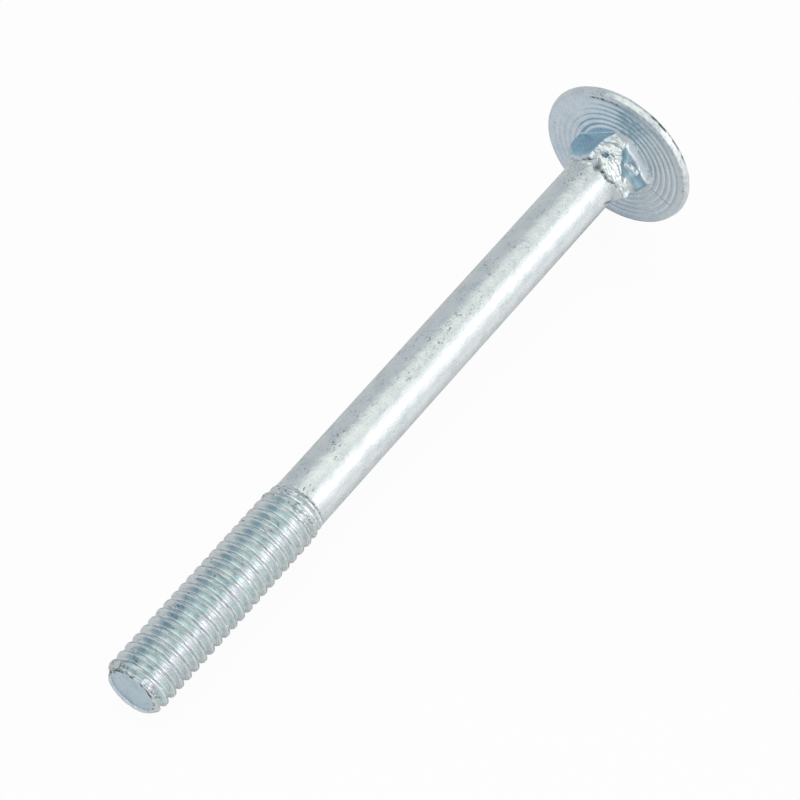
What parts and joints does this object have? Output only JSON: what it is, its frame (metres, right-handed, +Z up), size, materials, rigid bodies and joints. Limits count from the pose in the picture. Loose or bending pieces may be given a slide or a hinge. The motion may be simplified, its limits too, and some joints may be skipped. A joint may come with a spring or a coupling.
{
  "type": "carriage bolt",
  "caption": "Zinc-plated carriage bolt with a domed round head, turned rings under it, a forged square neck, a plain shank and a rolled right-hand thread.",
  "frame": {"origin": "on the ground under the middle of the lying bolt's bounding box", "axes": "+Z up from the ground; the bolt lies along X with its head towards +X, and its axis rises 3.98 degrees towards the head, because it rests on the rim of the head and on the thread's end; Y is across"},
  "size_m": [0.073, 0.0154, 0.0155],
  "materials": {
    "zinc_plate": "bright zinc plating over steel, with a blue-white passivated tint"
  },
  "bodies": {
    "root": {"bolt": "zinc_plate"}
  },
  "joints": []
}
